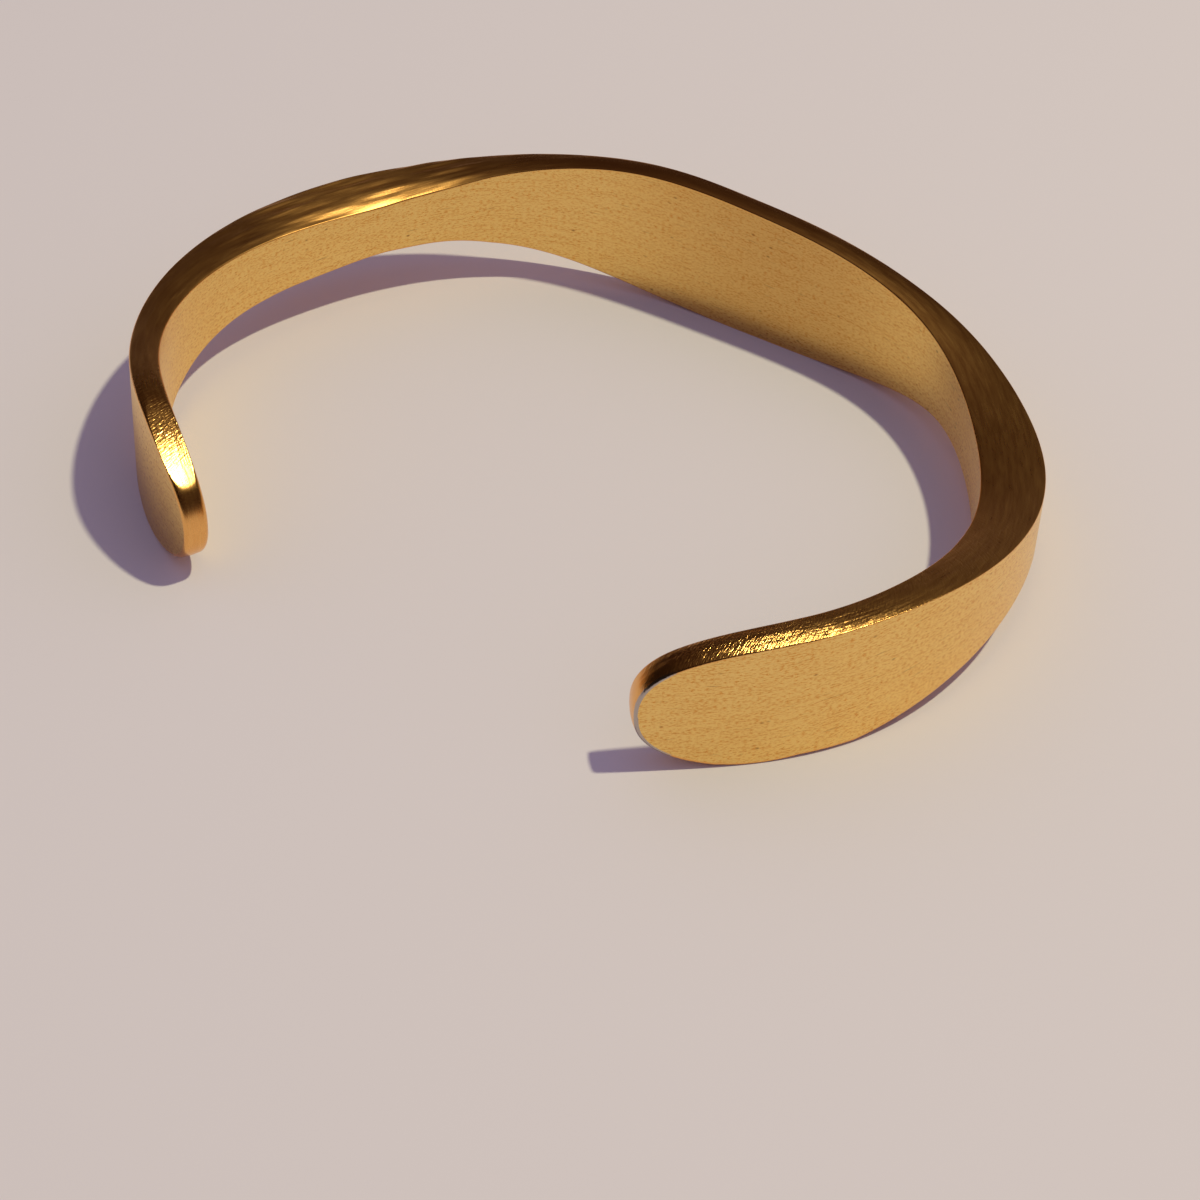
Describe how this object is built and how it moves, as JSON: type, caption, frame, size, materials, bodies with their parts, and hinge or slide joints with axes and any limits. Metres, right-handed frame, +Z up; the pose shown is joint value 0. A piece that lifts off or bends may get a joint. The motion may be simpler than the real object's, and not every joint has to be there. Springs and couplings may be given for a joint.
{
  "type": "open cuff bracelet",
  "caption": "Rigid open cuff bracelet forged in one piece: wide thin back, narrow thick shoulders and rounded paddle ends facing each other across an open mouth.",
  "frame": {"origin": "centre of the bounding box, on the surface that the cuff lies on", "axes": "+Z up, out of the surface that the cuff lies on; +Y from the mouth towards the back; +X across the mouth, from the left end to the right end as seen from the mouth"},
  "size_m": [0.064, 0.049, 0.0108],
  "materials": {
    "gold_tone_brass": "broad faces satin with fine lengthwise brush lines, rims polished with fine cross-wise file marks"
  },
  "bodies": {
    "root": {"cuff_band": "gold_tone_brass"}
  },
  "joints": []
}
